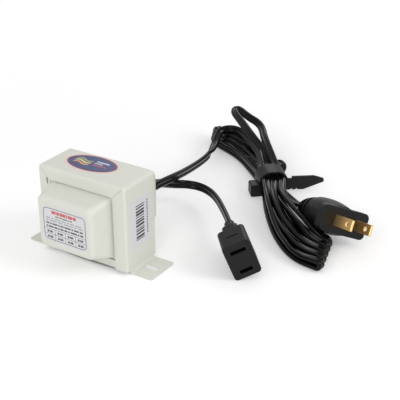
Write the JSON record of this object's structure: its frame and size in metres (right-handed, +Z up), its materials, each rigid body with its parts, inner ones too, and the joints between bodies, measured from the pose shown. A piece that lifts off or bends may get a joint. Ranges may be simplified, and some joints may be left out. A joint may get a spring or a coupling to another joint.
{
  "type": "autotransformer",
  "caption": "Small plug-in autotransformer: iron core in a folded steel case with slotted feet, a short corded outlet and a supply cord tied in a hank",
  "frame": {"origin": "middle of the plane on which both feet stand, halfway between the foot slots", "axes": "+X towards the foot on the right as seen from the face with the rating sticker, +Y towards the cord bushing, +Z up"},
  "size_m": [0.1767, 0.2131, 0.0528],
  "materials": {
    "case_paint": "ivory grey satin paint on folded sheet steel",
    "core_steel": "stacked electrical steel with varnish",
    "bobbin_nylon": "natural moulded nylon",
    "copper_wire": "enamelled copper wire",
    "insulation_tape": "polyester film tape",
    "fuse_case": "moulded thermal cut-out",
    "lead_sleeve": "heat-shrink sleeving",
    "cord_pvc": "black satin flexible vinyl",
    "black_moulding": "black satin moulded vinyl",
    "tie_nylon": "black strap tie",
    "blade_brass": "bare pressed brass",
    "oval_print": "printed oval sticker",
    "plate_print": "printed rating sticker",
    "barcode_print": "white sticker with bars"
  },
  "bodies": {
    "root": {"frame_strap": "case_paint", "front_cover": "case_paint", "rear_cover": "case_paint", "e_laminations": "core_steel", "i_laminations": "core_steel", "bobbin": "bobbin_nylon", "common_winding": "copper_wire", "series_winding": "copper_wire", "winding_barrier": "insulation_tape", "winding_wrap": "insulation_tape", "thermal_fuse": "fuse_case", "common_lead": "lead_sleeve", "tap_lead": "lead_sleeve", "line_lead": "lead_sleeve", "common_splice_sleeve": "lead_sleeve", "tap_splice_sleeve": "lead_sleeve", "line_splice_sleeve": "lead_sleeve", "cord_bushing": "black_moulding", "supply_cord": "cord_pvc", "supply_cord_hank": "cord_pvc", "supply_cord_plug_end": "cord_pvc", "outlet_cord": "cord_pvc", "cable_tie": "tie_nylon", "plug_body": "black_moulding", "plug_blade_near": "blade_brass", "plug_blade_far": "blade_brass", "outlet_body": "black_moulding", "outlet_contact_wide": "blade_brass", "outlet_contact_narrow": "blade_brass", "oval_label": "oval_print", "nameplate_label": "plate_print", "barcode_label": "barcode_print"}
  },
  "joints": []
}
